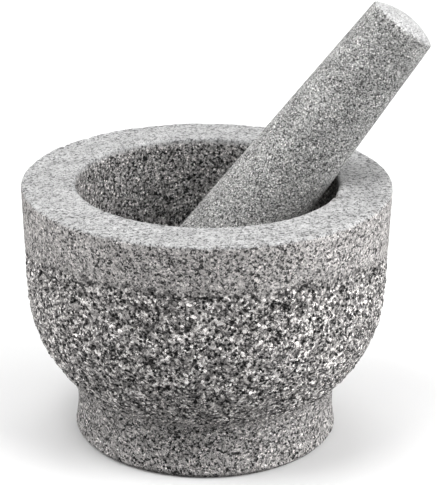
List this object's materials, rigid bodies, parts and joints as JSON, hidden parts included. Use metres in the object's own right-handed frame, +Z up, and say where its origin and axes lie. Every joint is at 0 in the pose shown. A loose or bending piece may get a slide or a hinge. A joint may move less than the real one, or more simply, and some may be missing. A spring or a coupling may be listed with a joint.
{
  "type": "mortar and pestle",
  "caption": "Turned stone mortar with a ring foot, a rough belly, a smooth rim band and a deep round bowl, with a loose tapered stone pestle leaning in it.",
  "frame": {"origin": "centre of the foot's flat underside", "axes": "+Z up, out of the mouth of the bowl; +X towards the side the pestle leans to; -Y towards the viewer"},
  "size_m": [0.1694, 0.155, 0.1847],
  "materials": {
    "mortar_granite": "matte",
    "pestle_granite": "matte"
  },
  "bodies": {
    "mortar": {"mortar": "mortar_granite"},
    "pestle": {"pestle": "pestle_granite"}
  },
  "joints": [
    {"name": "pestle_lift", "type": "slide", "parent": "mortar", "child": "pestle", "axis": [0, 0, 1], "range_m": [0, 0.1]}
  ]
}
